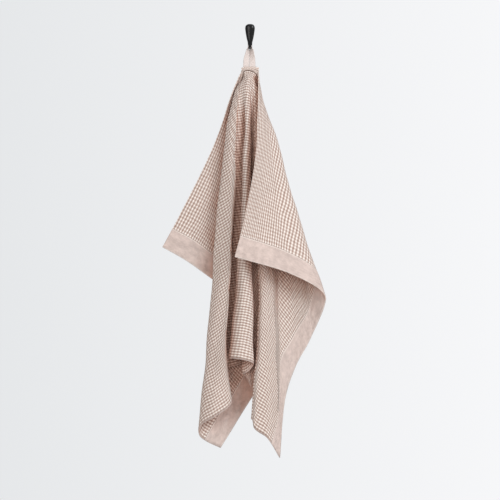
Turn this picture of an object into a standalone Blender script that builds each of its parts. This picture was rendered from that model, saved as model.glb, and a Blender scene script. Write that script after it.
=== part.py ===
"""Hand towel draped from its hanging loop on a small wall hook.

The towel is one rectangular sheet, 700 x 500 mm, hung from the middle of one long edge. Its folds fan
out from that point: each row of FOLDS is one crease or swell, from the top edge to the sheet's border.
X is to the right, Z is up, the wall is the plane Y = 0 and the room is on the -Y side.
"""
import math

import bmesh
import bpy

# Units
MM = 0.001

# Sheet
SHEET_LENGTH = 700.0
SHEET_WIDTH = 500.0
SHEET_THICKNESS = 1.6
TOP_X = 0.8
TOP_Y = -24.0
TOP_Z = -53.3
COLUMN_PITCH = 26.0
ROWS_DOWN = 22
ROW_CROWDING = 1.5
LEVELS = (40.0, 120.0, 250.0, 390.0, 480.0)
BEND_START = 40.0
BEND_GROWTH = 160.0
CORNER_SHARPNESS = 4.0
TOP_CORNER_DROP = 2.4
GATHER_DROP = 18.0
GATHER_SPREAD = 0.1
GATHER_HEM_SPREAD = 0.35
GATHER_DEPTH = 0.7
GATHER_THICKNESS = 0.6
GATHER_THICK_DROP = 60.0
# Rolled hem of the top edge and the groove under it: y from the edge, drop, share of the gather's spread
TOP_HEM = (
    (-0.5, 3.0, 0.0),
    (0.9, 6.8, 0.05),
)
# Where the fold lines start on the straight top edge: degrees round the flat sheet, place along the edge
TOP_STARTS = (
    (0.0, -15.0),
    (60.0, -10.0),
    (154.0, 10.0),
    (180.0, 14.0),
)

# One row per crease or swell, from the left half of the top edge round to its right half.
# along, drop: where the row ends on the flat sheet, measured from the middle of the top edge.
# bend: radius of a tight crease, 0 for a soft swell, and minus where the sheet beyond the crease turns back
# towards the wall.
# stations: (x, y) at each of LEVELS below the top edge, as far as the row reaches.
# tip: (x, y, drop) of the row's end on the hung sheet.
FOLDS = (
    # name            along   drop   bend  stations                                              tip
    ("left_hem",     -350.0,   0.0,  0.0, ((-29, -25), (-57, -19), (-120, -12)),        (-148, -10, 302)),
    ("left_flap",    -350.0,  45.0,  0.0, ((-25, -19), (-43, -17), (-79, -13)),         (-109, -17, 324)),
    ("left_back",    -350.0, 101.0,  0.0, ((-16, -18), (-29, -15), (-48, -12)),         (-65, -15, 355)),
    ("back",         -350.0, 188.0,  0.0, ((-7, -16), (-8, -12), (-3, -8)),             (2, -8, 400)),
    ("back_fold",    -350.0, 276.0,  3.0, ((4, -17), (12, -14), (39, -12), (64, -13)),  (76, -15, 452)),
    ("middle",       -350.0, 390.0,  0.0, ((-9, -21), (-6, -18), (-1, -18), (3, -24)),  (5, -23, 550)),
    ("left_corner",  -350.0, 500.0,  0.0, ((-18, -22), (-24, -21), (-28, -23), (-36, -30)), (-50, -27, 638)),
    ("left_turn",    -318.0, 500.0,  0.0, ((-22, -24), (-33, -24), (-43, -26), (-56, -31)), (-74, -35, 626)),
    ("left_ply",     -301.0, 500.0,  0.0, ((-24, -25), (-39, -26), (-53, -29), (-63, -34)), (-84, -41, 617)),
    ("left_fold",    -290.0, 500.0,  0.0, ((-25, -27), (-41, -28), (-56, -32), (-66, -39)), (-86, -47, 607)),
    ("left_roll",    -280.0, 500.0,  0.0, ((-25, -28), (-41, -31), (-53, -36), (-63, -44)), (-81, -54, 597)),
    ("left_front",   -251.0, 500.0,  0.0, ((-24, -29), (-38, -36), (-45, -43), (-54, -53)), (-60, -66, 584)),
    ("front_fold",   -201.0, 500.0,  0.0, ((-22, -32), (-32, -41), (-31, -51), (-37, -63), (-42, -67)),
     (-31, -66, 556)),
    ("valley",       -150.0, 500.0, -3.0, ((-18, -35), (-25, -42), (-31, -43), (-42, -43)), (-48, -44, 503)),
    ("inner_fold",    -48.0, 500.0,  3.0, ((-12, -38), (1, -31), (24, -28), (42, -28)), (51, -28, 480)),
    ("roll_back",      10.0, 500.0,  0.0, ((-9, -40), (-7, -39), (-7, -40), (-13, -42)), (-13, -42, 484)),
    ("roll_left",      45.0, 500.0,  0.0, ((-7, -41), (-10, -43), (-16, -47), (-26, -53)), (-36, -57, 486)),
    ("roll_front",     72.0, 500.0,  0.0, ((-5, -41), (-6, -48), (-8, -60), (-12, -70)), (-16, -74, 488)),
    ("roll_right",    100.0, 500.0,  0.0, ((-3, -41), (0, -45), (0, -54), (3, -62)),    (5, -65, 496)),
    ("right_valley",  140.0, 500.0, -2.0, ((-1, -40), (1, -38), (-6, -44), (-9, -48)),  (-15, -50, 513)),
    ("right_inner",   180.0, 500.0,  0.0, ((2, -39), (6, -35), (9, -38), (9, -44)),     (4, -46, 542)),
    ("right_back",    215.0, 500.0,  2.0, ((4, -38), (14, -34), (20, -38), (25, -41)),  (20, -47, 563)),
    ("tail_fold",     255.0, 500.0,  2.0, ((6, -38), (7, -41), (11, -48), (14, -56)),   (1, -62, 588)),
    ("tail_corner",   268.0, 500.0,  0.0, ((7, -38), (9, -43), (14, -52), (18, -61)),   (5, -67, 600)),
    ("tail_ridge",    300.0, 500.0,  0.0, ((9, -37), (13, -43), (21, -54), (27, -63)),  (27, -69, 618)),
    ("right_corner",  350.0, 500.0,  0.0, ((12, -36), (19, -42), (31, -52), (39, -59)), (49, -61, 652)),
    ("right_edge",    350.0, 400.0,  0.0, ((11, -33), (23, -41), (40, -47), (44, -51), (47, -55)),
     (57, -56, 556)),
    ("right_trough",  350.0, 325.0,  0.0, ((11, -31), (29, -38), (55, -42), (71, -43)), (76, -38, 500)),
    ("right_ply",     350.0, 245.0,  0.0, ((12, -29), (34, -36), (67, -43), (96, -42)), (101, -38, 453)),
    ("right_fold",    350.0, 172.0,  0.0, ((15, -26), (42, -40), (79, -54)),            (124, -64, 388)),
    ("flap_right",    350.0, 105.0,  0.0, ((17, -34), (32, -54), (45, -77)),            (64, -90, 345)),
    ("flap_left",     350.0,  50.0,  0.0, ((15, -40), (22, -61), (15, -86)),            (12, -99, 329)),
    ("right_hem",     350.0,   0.0,  0.0, ((13, -45), (11, -66), (-9, -92)),            (-26, -103, 318)),
)

# Hanging loop, a narrow woven tape folded over the hook
TAPE_WIDTH = 10.2
TAPE_THICKNESS = 1.4
TAPE_STEPS = 5
# x, y, z of the tape's middle line, and the turn of its width from X towards Y in degrees
TAPE_PATH = (
    (-6.4, -22.3, -57.5, 0.0),
    (-6.4, -22.2, -51.0, 3.0),
    (-6.0, -21.4, -42.0, 18.0),
    (-4.4, -19.9, -32.0, 44.0),
    (-3.0, -18.5, -24.5, 58.0),
    (-3.35, -18.1, -22.6, 84.0),
    (-3.3, -18.0, -20.3, 90.0),
    (-2.35, -18.0, -17.95, 90.0),
    (0.0, -18.0, -17.0, 90.0),
    (2.35, -18.0, -17.95, 90.0),
    (3.3, -18.0, -20.3, 90.0),
    (3.2, -18.0, -22.6, 96.0),
    (2.8, -18.2, -24.5, 121.0),
    (3.5, -19.0, -32.0, 137.0),
    (4.0, -20.4, -42.0, 163.0),
    (4.1, -22.0, -51.0, 177.0),
    (4.1, -22.3, -57.5, 180.0),
)

# Hook arm: sections from the wall end to the tip of the rounded head
ARM_SIDES = 20
# y, z of the section's middle, its half width, its half depth and its tilt from upright in degrees
ARM_SECTIONS = (
    (-2.9, -20.3, 2.3, 2.3, 0.0),
    (-14.0, -20.3, 2.3, 2.3, 0.0),
    (-23.0, -20.3, 2.3, 2.3, 0.0),
    (-27.0, -19.4, 2.3, 2.3, 25.0),
    (-29.8, -17.0, 2.3, 2.3, 55.0),
    (-31.0, -13.9, 3.5, 2.5, 80.0),
    (-31.3, -9.0, 4.9, 2.9, 88.0),
    (-31.3, -2.0, 6.4, 3.3, 90.0),
    (-31.3, 5.0, 7.5, 3.7, 90.0),
    (-31.3, 10.5, 8.1, 4.0, 90.0),
    (-31.3, 14.2, 7.4, 3.7, 90.0),
    (-31.3, 16.5, 5.6, 3.0, 90.0),
    (-31.3, 17.6, 2.8, 1.6, 90.0),
)

# Hook plate, tapered and round-ended, hidden behind the head
PLATE_DEPTH = 2.5
PLATE_TOP_Z = 8.0
PLATE_TOP_RADIUS = 5.0
PLATE_LOW_Z = -19.0
PLATE_LOW_RADIUS = 3.4
PLATE_END_STEPS = 14
PLATE_EDGE = 0.5

# Colours and finishes
CLOTH_COLOUR = (0.74, 0.60, 0.53, 1.0)
TAPE_COLOUR = (0.66, 0.57, 0.52, 1.0)
METAL_COLOUR = (0.012, 0.012, 0.013, 1.0)
CLOTH_ROUGHNESS = 0.95
METAL_ROUGHNESS = 0.25


def slopes(knots, values):
    """Slope at each knot of a curve that never overshoots its values."""
    steps = [knots[i + 1] - knots[i] for i in range(len(knots) - 1)]
    rates = [(values[i + 1] - values[i]) / steps[i] for i in range(len(steps))]
    result = [rates[0]]
    for i in range(1, len(rates)):
        before = rates[i - 1]
        after = rates[i]
        if before * after <= 0.0:
            result.append(0.0)
        else:
            first = 2.0 * steps[i] + steps[i - 1]
            second = steps[i] + 2.0 * steps[i - 1]
            result.append((first + second) / (first / before + second / after))
    result.append(rates[-1])
    return result


def curve_value(knots, values, tangents, at):
    """Value of the smooth curve through the knots."""
    last = len(knots) - 2
    i = 0
    while i < last and at > knots[i + 1]:
        i += 1
    step = knots[i + 1] - knots[i]
    t = (at - knots[i]) / step
    square = t * t
    cube = square * t
    return (
        (2.0 * cube - 3.0 * square + 1.0) * values[i]
        + (cube - 2.0 * square + t) * step * tangents[i]
        + (3.0 * square - 2.0 * cube) * values[i + 1]
        + (cube - square) * step * tangents[i + 1]
    )


def smooth_points(knots, points, positions):
    """Points of a smooth space curve at the given positions."""
    axes = list(zip(*points))
    tangents = [slopes(knots, axis) for axis in axes]
    return [
        tuple(curve_value(knots, axis, tangent, at) for axis, tangent in zip(axes, tangents))
        for at in positions
    ]


def fold_line(start_angle, stations, tip):
    """Even points down one crease, from the top edge to the sheet's border."""
    angles, starts = zip(*TOP_STARTS)
    start_x = curve_value(angles, starts, slopes(angles, starts), math.degrees(start_angle))
    hem = math.cos(start_angle) ** 6
    spread = GATHER_SPREAD + (GATHER_HEM_SPREAD - GATHER_SPREAD) * hem
    first_x, first_y = stations[0]
    wider = (first_x - start_x) * spread
    points = [(start_x, TOP_Y, TOP_CORNER_DROP * (start_x / TOP_STARTS[0][1]) ** 6)]
    points += [(start_x + wider * share, TOP_Y + lift, drop) for lift, drop, share in TOP_HEM]
    points.append((start_x + wider, TOP_Y + (first_y - TOP_Y) * GATHER_DEPTH, GATHER_DROP))
    points += [(x, y, level) for (x, y), level in zip(stations, LEVELS)]
    points.append(tip)
    depths = [point[2] for point in points]
    fine = 120
    positions = [depths[0] + (tip[2] - depths[0]) * i / fine for i in range(fine + 1)]
    path = smooth_points(depths, points, positions)
    lengths = [0.0]
    for i in range(fine):
        lengths.append(lengths[-1] + math.dist(path[i], path[i + 1]))
    wanted = [lengths[-1] * (i / ROWS_DOWN) ** ROW_CROWDING for i in range(ROWS_DOWN + 1)]
    return smooth_points(lengths, path, wanted)


def border_distance(along, drop):
    """Distance round the flat sheet's border from the left end of the top edge."""
    if along <= -SHEET_LENGTH / 2.0:
        return drop
    if drop >= SHEET_WIDTH:
        return SHEET_WIDTH + along + SHEET_LENGTH / 2.0
    return SHEET_WIDTH + SHEET_LENGTH + SHEET_WIDTH - drop


def border_angle(distance):
    """Direction of a point of the flat border, seen from the middle of the top edge."""
    half = SHEET_LENGTH / 2.0
    if distance <= SHEET_WIDTH:
        return math.atan2(distance, half)
    if distance <= SHEET_WIDTH + SHEET_LENGTH:
        return math.atan2(SHEET_WIDTH, SHEET_WIDTH + half - distance)
    return math.atan2(2.0 * SHEET_WIDTH + SHEET_LENGTH - distance, -half)


def bend_flank(row, distance, across, towards, plain):
    """Line beside a tight crease, a quarter turn from its edge; near the top it is the plain sheet's own."""
    size = abs(row[3])
    stations = [(x + across * size, y + towards * size) for x, y in row[4]]
    x, y, drop = row[5]
    bent = fold_line(border_angle(distance), stations, (x + across * size, y + towards * size, drop))
    result = []
    for start, end in zip(plain, bent):
        share = min(1.0, max(0.0, (start[2] - BEND_START) / BEND_GROWTH))
        result.append(tuple(a + (b - a) * share for a, b in zip(start, end)))
    return result


def sheet_lines():
    """Border distances and lines of every crease and of the flanks of the tight ones."""
    edges = [border_distance(row[1], row[2]) for row in FOLDS]
    creases = [fold_line(border_angle(edge), row[4], row[5]) for edge, row in zip(edges, FOLDS)]
    levels = list(zip(*creases))
    knots = []
    lines = []
    for index, (edge, row) in enumerate(zip(edges, FOLDS)):
        parts = [(edge, creases[index])]
        if row[3] != 0.0:
            quarter = abs(row[3]) * math.pi / 2.0
            middle = 0.5 * (FOLDS[index - 1][5][0] + FOLDS[index + 1][5][0])
            across = math.copysign(1.0, middle - row[5][0])
            towards = math.copysign(1.0, row[3])
            beside = [smooth_points(edges, level, (edge - quarter, edge + quarter)) for level in levels]
            before, after = zip(*beside)
            parts.insert(0, (edge - quarter, bend_flank(row, edge - quarter, across, towards, before)))
            parts.append((edge + quarter, bend_flank(row, edge + quarter, across, -towards, after)))
        for knot, line in parts:
            knots.append(knot)
            lines.append(line)
    return knots, lines


def column_positions(knots):
    """Border distances of the sheet's columns, with one on every line."""
    result = [knots[0]]
    for i in range(len(knots) - 1):
        gap = knots[i + 1] - knots[i]
        count = 1 if gap < COLUMN_PITCH / 2.0 else max(2, math.ceil(gap / COLUMN_PITCH))
        result += [knots[i] + gap * (j + 1) / count for j in range(count)]
    return result


def sheet_points():
    """Rows of points on the middle surface of the hung sheet, in millimetres."""
    knots, lines = sheet_lines()
    columns = column_positions(knots)
    first = knots.index(SHEET_WIDTH)
    second = knots.index(SHEET_WIDTH + SHEET_LENGTH)
    sides = ((0, first), (first, second), (second, len(knots) - 1))
    grid = []
    for i in range(ROWS_DOWN + 1):
        points = [line[i] for line in lines]
        row = smooth_points(knots, points, columns)
        sharpness = (i / ROWS_DOWN) ** CORNER_SHARPNESS
        for low, high in sides:
            places = [j for j, at in enumerate(columns) if knots[low] <= at <= knots[high]]
            side = smooth_points(
                knots[low:high + 1], points[low:high + 1], [columns[j] for j in places]
            )
            for j, point in zip(places, side):
                row[j] = tuple(a + (b - a) * sharpness for a, b in zip(row[j], point))
        grid.append(row)
    return grid


def new_material(name, colour, roughness, metallic):
    """Plain Principled material."""
    material = bpy.data.materials.new(name)
    material.use_nodes = True
    shader = material.node_tree.nodes["Principled BSDF"]
    shader.inputs["Base Color"].default_value = colour
    shader.inputs["Roughness"].default_value = roughness
    shader.inputs["Metallic"].default_value = metallic
    return material


def new_object(name, mesh_data, collection, material):
    """Object made from a bmesh, in the part's collection."""
    mesh = bpy.data.meshes.new(name)
    bmesh.ops.recalc_face_normals(mesh_data, faces=mesh_data.faces)
    mesh_data.to_mesh(mesh)
    mesh_data.free()
    mesh.materials.append(material)
    thing = bpy.data.objects.new(name, mesh)
    collection.objects.link(thing)
    return thing


def make_cloth(collection):
    """The towel's sheet with its thickness."""
    grid = sheet_points()
    shape = bmesh.new()
    points = [
        [shape.verts.new(((x + TOP_X) * MM, y * MM, (TOP_Z - drop) * MM)) for x, y, drop in row]
        for row in grid
    ]
    for i in range(len(points) - 1):
        for j in range(len(points[i]) - 1):
            shape.faces.new((points[i][j], points[i][j + 1], points[i + 1][j + 1], points[i + 1][j]))
    material = new_material("cotton_waffle", CLOTH_COLOUR, CLOTH_ROUGHNESS, 0.0)
    cloth = new_object("towel_cloth", shape, collection, material)
    fullness = cloth.vertex_groups.new(name="fullness")
    for vert in cloth.data.vertices:
        drop = TOP_Z - vert.co.z / MM
        share = min(1.0, drop / GATHER_THICK_DROP)
        fullness.add([vert.index], GATHER_THICKNESS + (1.0 - GATHER_THICKNESS) * share, "REPLACE")
    solid = cloth.modifiers.new("thickness", "SOLIDIFY")
    solid.vertex_group = "fullness"
    solid.thickness = SHEET_THICKNESS * MM
    solid.offset = 0.0
    solid.use_even_offset = False
    return cloth


def loft(shape, rings):
    """Closed skin through rings of equal count, with flat ends."""
    count = len(rings[0])
    for lower, upper in zip(rings, rings[1:]):
        for i in range(count):
            j = (i + 1) % count
            shape.faces.new((lower[i], lower[j], upper[j], upper[i]))
    shape.faces.new(rings[0])
    shape.faces.new(rings[-1])


def make_loop(collection):
    """The hanging loop, a flat tape whose legs turn a quarter round below the hook."""
    knots = list(range(len(TAPE_PATH)))
    steps = [i / TAPE_STEPS for i in range((len(TAPE_PATH) - 1) * TAPE_STEPS + 1)]
    path = smooth_points(knots, TAPE_PATH, steps)
    shape = bmesh.new()
    rings = []
    for i, (x, y, z, turn) in enumerate(path):
        before = path[max(i - 1, 0)]
        after = path[min(i + 1, len(path) - 1)]
        run = [after[k] - before[k] for k in range(3)]
        size = math.hypot(*run)
        run = [value / size for value in run]
        angle = math.radians(turn)
        wide = [math.cos(angle), math.sin(angle), 0.0]
        lean = sum(a * b for a, b in zip(wide, run))
        wide = [a - lean * b for a, b in zip(wide, run)]
        size = math.hypot(*wide)
        wide = [value / size * TAPE_WIDTH / 2.0 for value in wide]
        thick = [
            (run[1] * wide[2] - run[2] * wide[1]),
            (run[2] * wide[0] - run[0] * wide[2]),
            (run[0] * wide[1] - run[1] * wide[0]),
        ]
        size = math.hypot(*thick)
        thick = [value / size * TAPE_THICKNESS / 2.0 for value in thick]
        ring = []
        for across, through in ((-1, -1), (1, -1), (1, 1), (-1, 1)):
            corner = [
                (centre + across * a + through * b) * MM
                for centre, a, b in zip((x, y, z), wide, thick)
            ]
            ring.append(shape.verts.new(corner))
        rings.append(ring)
    loft(shape, rings)
    material = new_material("cotton_tape", TAPE_COLOUR, CLOTH_ROUGHNESS, 0.0)
    return new_object("hanging_loop", shape, collection, material)


def make_arm(collection):
    """The hook's round arm and its flattened drop-shaped head, in one piece."""
    knots = list(range(len(ARM_SECTIONS)))
    steps = [i / 2.0 for i in range(2 * len(ARM_SECTIONS) - 1)]
    sections = smooth_points(knots, ARM_SECTIONS, steps)
    shape = bmesh.new()
    rings = []
    for y, z, half_width, half_depth, tilt in sections:
        lean = math.radians(tilt)
        ring = []
        for i in range(ARM_SIDES):
            angle = 2.0 * math.pi * i / ARM_SIDES
            side = half_width * math.cos(angle)
            out = half_depth * math.sin(angle)
            ring.append(shape.verts.new((
                side * MM,
                (y + out * math.sin(lean)) * MM,
                (z + out * math.cos(lean)) * MM,
            )))
        rings.append(ring)
    loft(shape, rings)
    material = new_material("black_metal_arm", METAL_COLOUR, METAL_ROUGHNESS, 0.0)
    return new_object("hook_arm", shape, collection, material)


def make_plate(collection):
    """The tapered plate that holds the hook to the wall."""
    outline = []
    for centre, radius, first in (
        (PLATE_TOP_Z, PLATE_TOP_RADIUS, 0.0),
        (PLATE_LOW_Z, PLATE_LOW_RADIUS, math.pi),
    ):
        for i in range(PLATE_END_STEPS + 1):
            angle = first + math.pi * i / PLATE_END_STEPS
            outline.append((radius * math.cos(angle), centre + radius * math.sin(angle)))
    shape = bmesh.new()
    back = shape.faces.new([shape.verts.new((x * MM, 0.0, z * MM)) for x, z in outline])
    pulled = bmesh.ops.extrude_face_region(shape, geom=[back], use_keep_orig=True)
    front = [item for item in pulled["geom"] if isinstance(item, bmesh.types.BMVert)]
    bmesh.ops.translate(shape, verts=front, vec=(0.0, -PLATE_DEPTH * MM, 0.0))
    rim = [edge for edge in shape.edges if all(vert in front for vert in edge.verts)]
    bmesh.ops.bevel(shape, geom=rim, offset=PLATE_EDGE * MM, segments=2, profile=0.5, affect="EDGES")
    material = new_material("black_metal_plate", METAL_COLOUR, METAL_ROUGHNESS, 0.0)
    return new_object("hook_plate", shape, collection, material)


def main():
    """Builds the towel, its loop and the hook."""
    for thing in list(bpy.data.objects):
        bpy.data.objects.remove(thing, do_unlink=True)
    collection = bpy.data.collections.new("hand_towel_on_hook")
    bpy.context.scene.collection.children.link(collection)
    make_cloth(collection)
    make_loop(collection)
    make_arm(collection)
    make_plate(collection)


main()
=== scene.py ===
"""Hand towel hung by its loop from a small black wall hook.

The towel is one waffle-woven sheet, 700 x 500 mm, with plain hemmed bands at its short edges. It hangs from
the middle of a long edge, so its folds fan out from there: each row of FOLDS is one crease or swell, followed
from the top edge to the sheet's border. X is to the right, Z is up, and the wall would be the plane Y = 0.
"""

import math
from collections import namedtuple

import bmesh
import bpy
import numpy as np
from bpy.props import FloatProperty, FloatVectorProperty, IntProperty, PointerProperty
from bpy.types import Operator, Panel, PropertyGroup
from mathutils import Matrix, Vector
from mathutils.bvhtree import BVHTree


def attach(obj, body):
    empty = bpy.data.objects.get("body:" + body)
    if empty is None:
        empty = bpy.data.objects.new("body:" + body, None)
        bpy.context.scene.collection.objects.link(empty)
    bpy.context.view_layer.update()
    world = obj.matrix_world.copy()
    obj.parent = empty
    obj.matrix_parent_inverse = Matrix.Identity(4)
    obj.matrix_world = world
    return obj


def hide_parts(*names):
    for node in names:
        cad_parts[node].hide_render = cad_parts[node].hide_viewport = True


bl_info = {
    "name": "Hand Towel on a Hook",
    "version": (1, 0, 0),
    "blender": (4, 5, 0),
    "location": "View3D > Sidebar > Towel",
    "description": "A waffle-woven hand towel hung by its loop from a small black hook",
    "category": "Object",
}

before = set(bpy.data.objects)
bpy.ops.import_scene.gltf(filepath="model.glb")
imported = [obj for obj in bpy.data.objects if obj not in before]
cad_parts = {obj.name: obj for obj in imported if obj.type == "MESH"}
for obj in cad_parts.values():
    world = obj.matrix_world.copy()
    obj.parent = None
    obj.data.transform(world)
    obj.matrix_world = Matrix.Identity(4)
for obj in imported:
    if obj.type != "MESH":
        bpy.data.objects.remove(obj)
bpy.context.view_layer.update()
MM = 0.001

# Flat sheet and how it hangs, in millimetres
SHEET_LENGTH = 700.0
SHEET_WIDTH = 500.0
TOP_X = 0.8
TOP_Y = -24.0
TOP_Z = -53.3
COLUMN_PITCH = 5.2
ROWS_DOWN = 128
ROW_CROWDING = 1.3
LINE_SAMPLES = 400
LEVELS = (40.0, 120.0, 250.0, 390.0, 480.0)
BEND_START = 40.0
BEND_GROWTH = 160.0
CORNER_SHARPNESS = 4.0
SELVEDGE = 1.7
STITCH_INSET = 1.6

# Top hem: a cord near the loop, with a groove below it whose dark line is a painted shadow. TOP_HEM: lift
# from the wall, drop, share of spread
HEM_PITCH = 1.4
HEM_SPAN = 9.8
HEM_WIDTH = 5.8
HEM_GROOVE = 2.4
HEM_ROLL = 3.4
HEM_ROLL_REACH = 90.0
CORD_SLANT = 1.6
TOP_HEM = ((-1.0, 3.0, 0.0), (0.9, 6.8, 0.05))
TOP_CORNER_DROP = 2.4

# Gathered top below the loop
GATHER_DROP = 18.0
GATHER_SPREAD = 0.1
GATHER_HEM_SPREAD = 0.35
GATHER_DEPTH = 0.7
GATHER_THICKNESS = 0.6
GATHER_THICK_DROP = 60.0

# Where the fold lines start on the straight top edge: degrees round the flat sheet, place along the edge
TOP_STARTS = ((0.0, -15.0), (60.0, -10.0), (154.0, 10.0), (180.0, 14.0))

Fold = namedtuple("Fold", "name along drop bend stations tip")

# One row per crease or swell, from the left half of the top edge round to its right half.
# along, drop: where the row ends on the flat sheet, measured from the middle of the top edge.
# bend: radius of a tight crease at the border, minus where it turns to the wall, 0 for a soft swell.
# stations: (x, y) at each of LEVELS below the top edge. tip: (x, y, drop) of the row's end.
FOLDS = [Fold(*row) for row in (
    ("left_hem",     -350,   0,  0, ((-29, -25), (-57, -19), (-120, -12)), (-148, -10, 302)),
    ("left_flap",    -350,  45,  0, ((-25, -19), (-43, -17), (-79, -13)), (-109, -17, 324)),
    ("left_back",    -350, 101,  0, ((-16, -18), (-29, -15), (-48, -12)), (-65, -15, 355)),
    ("back",         -350, 188,  0, ((-7, -16), (-8, -12), (-3, -8)), (2, -8, 400)),
    ("back_fold",    -350, 276,  3, ((4, -17), (12, -14), (39, -12), (64, -13)), (76, -15, 452)),
    ("middle",       -350, 390,  0, ((-9, -21), (-6, -18), (-1, -18), (3, -24)), (5, -23, 550)),
    ("left_corner",  -350, 500,  0, ((-18, -22), (-24, -21), (-28, -23), (-36, -30)), (-50, -27, 638)),
    ("left_turn",    -318, 500,  0, ((-22, -24), (-33, -24), (-43, -26), (-56, -31)), (-74, -35, 626)),
    ("left_ply",     -301, 500,  0, ((-24, -25), (-39, -26), (-53, -29), (-63, -34)), (-84, -41, 617)),
    ("left_fold",    -290, 500,  0, ((-25, -27), (-41, -28), (-56, -32), (-66, -39)), (-86, -47, 607)),
    ("left_roll",    -280, 500,  0, ((-25, -28), (-41, -31), (-53, -36), (-63, -44)), (-81, -54, 597)),
    ("left_front",   -251, 500,  0, ((-24, -29), (-38, -36), (-45, -43), (-54, -53)), (-60, -66, 584)),
    ("front_fold",   -201, 500,  0, ((-22, -32), (-32, -41), (-31, -51), (-37, -63), (-42, -67)),
     (-31, -66, 556)),
    ("valley",       -150, 500, -3, ((-18, -35), (-25, -42), (-31, -43), (-42, -43)), (-48, -44, 503)),
    ("inner_fold",    -48, 500,  3, ((-12, -38), (1, -31), (24, -28), (42, -28)), (51, -28, 480)),
    ("roll_back",      10, 500,  0, ((-9, -40), (-7, -39), (-7, -40), (-13, -42)), (-13, -42, 484)),
    ("roll_left",      45, 500,  0, ((-7, -41), (-10, -43), (-16, -47), (-26, -53)), (-36, -57, 486)),
    ("roll_front",     72, 500,  0, ((-5, -41), (-6, -48), (-8, -60), (-12, -70)), (-16, -74, 488)),
    ("roll_right",    100, 500,  0, ((-3, -41), (0, -45), (0, -54), (3, -62)), (5, -65, 496)),
    ("right_valley",  140, 500, -2, ((-1, -40), (1, -38), (-6, -44), (-9, -48)), (-15, -50, 513)),
    ("right_inner",   180, 500,  0, ((2, -39), (6, -35), (9, -38), (9, -44)), (4, -46, 542)),
    ("right_back",    215, 500,  2, ((4, -38), (14, -34), (20, -38), (25, -41)), (20, -47, 563)),
    ("tail_fold",     255, 500,  2, ((6, -38), (7, -41), (11, -48), (14, -56)), (1, -62, 588)),
    ("tail_corner",   268, 500,  0, ((7, -38), (9, -43), (14, -52), (18, -61)), (5, -67, 600)),
    ("tail_ridge",    300, 500,  0, ((9, -37), (13, -43), (21, -54), (27, -63)), (27, -69, 618)),
    ("right_corner",  350, 500,  0, ((12, -36), (19, -42), (31, -52), (39, -59)), (49, -61, 652)),
    ("right_edge",    350, 400,  0, ((11, -33), (23, -41), (40, -47), (44, -51), (47, -55)), (57, -56, 556)),
    ("right_trough",  350, 325,  0, ((11, -31), (29, -38), (55, -42), (71, -43)), (76, -38, 500)),
    ("right_ply",     350, 245,  0, ((12, -29), (34, -36), (67, -43), (96, -42)), (101, -38, 453)),
    ("right_fold",    350, 172,  0, ((15, -26), (42, -40), (79, -54)), (124, -64, 388)),
    ("flap_right",    350, 105,  0, ((17, -34), (32, -54), (45, -77)), (64, -90, 345)),
    ("flap_left",     350,  50,  0, ((15, -40), (22, -61), (15, -86)), (12, -99, 329)),
    ("right_hem",     350,   0,  0, ((13, -45), (11, -66), (-9, -92)), (-26, -103, 318)),
)]

# Soft unevenness of the cloth, in millimetres: length of the wave along and across the sheet, height, start
RIPPLES = (
    (210, 95, 0.55, 0),
    (-130, 150, 0.45, 40),
    (75, -110, 0.30, 15),
    (48, 64, 0.16, 5),
)
RIPPLE_FADE = 60.0

# How far round a point the folds are felt for, in how many directions, from how far off the sheet, and at
# every how many columns and rows
# What the folds close off sets the painted fold shade of the cloth.
ENCLOSURE_REACH = 170.0
ENCLOSURE_RAYS = 48
ENCLOSURE_LIFT = 1.5
ENCLOSURE_STEP = 3

# Hanging loop: x, y, z of the tape's middle line, and the turn of its width from X towards Y in degrees
TAPE_PATH = (
    (-6.4, -22.3, -57.5, 0),
    (-6.4, -22.2, -51, 3),
    (-6, -21.4, -42, 18),
    (-4.4, -19.9, -32, 44),
    (-3, -18.5, -24.5, 58),
    (-3.35, -18.1, -22.6, 84),
    (-3.3, -18, -20.3, 90),
    (-2.35, -18, -17.95, 90),
    (0, -18, -17, 90),
    (2.35, -18, -17.95, 90),
    (3.3, -18, -20.3, 90),
    (3.2, -18, -22.6, 96),
    (2.8, -18.2, -24.5, 121),
    (3.5, -19, -32, 137),
    (4, -20.4, -42, 163),
    (4.1, -22, -51, 177),
    (4.1, -22.3, -57.5, 180),
)
TAPE_STEPS = 9

# Hook arm: y, z of each section's middle, its half width, half depth and its tilt from upright in degrees
ARM_SECTIONS = (
    (-2.9, -20.3, 2.3, 2.3, 0),
    (-14, -20.3, 2.3, 2.3, 0),
    (-23, -20.3, 2.3, 2.3, 0),
    (-27, -19.4, 2.3, 2.3, 25),
    (-29.8, -17, 2.3, 2.3, 55),
    (-31, -13.9, 3.5, 2.5, 80),
    (-31.3, -9, 4.9, 2.9, 88),
    (-31.3, -2, 6.4, 3.3, 90),
    (-31.3, 5, 7.5, 3.7, 90),
    (-31.3, 10.5, 8.1, 4, 90),
    (-31.3, 14.2, 7.4, 3.7, 90),
    (-31.3, 16.5, 5.6, 3, 90),
    (-31.3, 17.6, 2.8, 1.6, 90),
)
ARM_SIDES = 40
ARM_STEPS = 5

# Hook plate
PLATE_DEPTH = 2.5
PLATE_TOP_Z = 8.0
PLATE_TOP_RADIUS = 5.0
PLATE_LOW_Z = -19.0
PLATE_LOW_RADIUS = 3.4
PLATE_END_STEPS = 28
PLATE_EDGE = 0.6

# Stage, in metres: what the camera and the lights are aimed at, the lights, and the lean of the ambient light
VIEW_CENTRE = (0.0, -0.045, -0.360)
LIGHT_AIM = (0.0, -0.05, -0.36)
LIGHT_SIZE = 1.5
KEY_PLACE = (2.3, -2.6, 1.2)
KEY_COLOUR = (0.94, 0.98, 1.0)
FILL_PLACE = (-1.1, -3.4, 0.5)
FILL_COLOUR = (1.0, 0.955, 0.91)
SKY_COLOUR = (1.0, 0.98, 0.96)
SKY_LEAN = (0.28, -0.55, 0.45)
SKY_REACH = 0.8
SKY_WEAKEST = 0.22
SKY_STRONGEST = 1.5


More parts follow.
